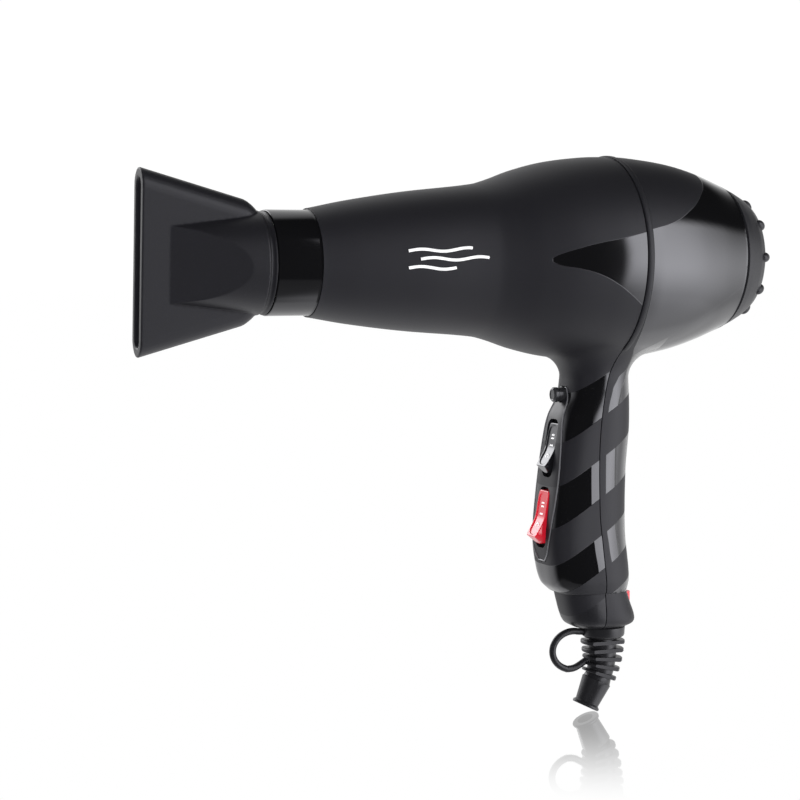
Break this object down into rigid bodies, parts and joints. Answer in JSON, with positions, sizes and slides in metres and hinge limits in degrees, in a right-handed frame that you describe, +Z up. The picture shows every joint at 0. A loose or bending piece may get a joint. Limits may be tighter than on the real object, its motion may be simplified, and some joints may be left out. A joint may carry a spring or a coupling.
{
  "type": "hair dryer",
  "caption": "Pistol-grip hair dryer with a flared slot nozzle, rear inlet cap, two rocker switches, a push button, a ribbed strain relief and a hanging loop.",
  "frame": {"origin": "middle of the hand grip, on the plane of symmetry", "axes": "+X along the barrel towards the air inlet (it blows towards -X), +Z up along the handle, +Y across the grip"},
  "size_m": [0.2769, 0.0894, 0.2451],
  "materials": {
    "matte_black": "fine satin, near-black",
    "gloss_black": "polished near-black with satin bands",
    "grille_grey": "satin dark grey",
    "red_plastic": "polished red",
    "rubber_black": "soft satin black",
    "mica": "flaky tan mineral sheet",
    "nichrome": "dull resistance wire",
    "steel": "bright zinc-plated or drawn steel",
    "copper": "copper windings and segments",
    "bronze": "sintered bronze",
    "carbon": "pressed carbon",
    "switch_plastic": "black glass-filled plastic",
    "nylon": "natural nylon",
    "ceramic": "unglazed steatite",
    "cable_grey": "grey insulation"
  },
  "bodies": {
    "dryer": {"brush_left": "carbon", "brush_right": "carbon", "clamp_screw_left": "steel", "clamp_screw_right": "steel", "cool_shot_spring": "steel", "cool_shot_switch": "switch_plastic", "cord_clamp": "nylon", "fan_shroud": "nylon", "field_core": "steel", "front_bearing": "bronze", "front_shell": "matte_black", "handle_screw_lower": "steel", "handle_screw_upper": "steel", "hanging_loop": "rubber_black", "heat_rocker_pin": "steel", "heat_switch_body": "switch_plastic", "heater_lead_left": "cable_grey", "heater_lead_right": "cable_grey", "heating_coil": "nichrome", "indicator_lens": "red_plastic", "mica_cross": "mica", "mica_sleeve": "mica", "motor_can": "steel", "motor_end_bell": "nylon", "motor_lead_left": "cable_grey", "motor_lead_right": "cable_grey", "outlet_collar": "gloss_black", "outlet_grille": "steel", "rear_bearing": "bronze", "rear_shell": "gloss_black", "speed_rocker_pin": "steel", "speed_switch_body": "switch_plastic", "strain_relief": "rubber_black", "suppression_capacitor": "cable_grey", "switch_panel": "gloss_black", "thermal_fuse": "steel", "thermostat": "ceramic"},
    "rotor": {"rotor_shaft": "steel", "armature": "copper", "commutator": "copper", "fan_impeller": "nylon"},
    "nozzle_ring": {"nozzle_lock_ring": "nylon"},
    "nozzle": {"concentrator_nozzle": "matte_black", "nozzle_spigot": "matte_black"},
    "filter": {"filter_frame": "nylon", "filter_screen": "steel"},
    "inlet_cap": {"rear_cap": "grille_grey", "inlet_grille": "grille_grey"},
    "heat_switch": {"heat_rocker": "gloss_black"},
    "speed_switch": {"speed_rocker": "red_plastic"},
    "cool_shot": {"cool_shot_button": "matte_black"}
  },
  "joints": [
    {"name": "fan_spin", "type": "hinge", "parent": "dryer", "child": "rotor", "pos_m": [0.0465, 0, 0.1003], "axis": [1, 0, 0], "continuous": true},
    {"name": "nozzle_pull", "type": "slide", "parent": "dryer", "child": "nozzle_ring", "axis": [-1, 0, 0], "range_m": [0, 0.03]},
    {"name": "nozzle_swivel", "type": "hinge", "parent": "nozzle_ring", "child": "nozzle", "pos_m": [-0.1445, 0, 0.098], "axis": [1, 0, 0], "continuous": true},
    {"name": "filter_pull", "type": "slide", "parent": "dryer", "child": "filter", "axis": [1, 0, 0], "range_m": [0, 0.025]},
    {"name": "rear_cap_twist", "type": "hinge", "parent": "filter", "child": "inlet_cap", "pos_m": [0.064, 0, 0.1003], "axis": [1, 0, 0], "range_deg": [0, 20]},
    {"name": "heat_rocker_tilt", "type": "hinge", "parent": "dryer", "child": "heat_switch", "pos_m": [-0.0102, 0, 0.01679], "axis": [0, 1, 0], "range_deg": [-26, 0]},
    {"name": "speed_rocker_tilt", "type": "hinge", "parent": "dryer", "child": "speed_switch", "pos_m": [-0.01381, 0, -0.01325], "axis": [0, 1, 0], "range_deg": [-26, 0]},
    {"name": "cool_shot_press", "type": "slide", "parent": "dryer", "child": "cool_shot", "axis": [1, 0, 0], "range_m": [0, 0.0018], "stiffness_N_per_m": 400, "springref_m": -0.001, "deforming": ["cool_shot_spring"]}
  ]
}
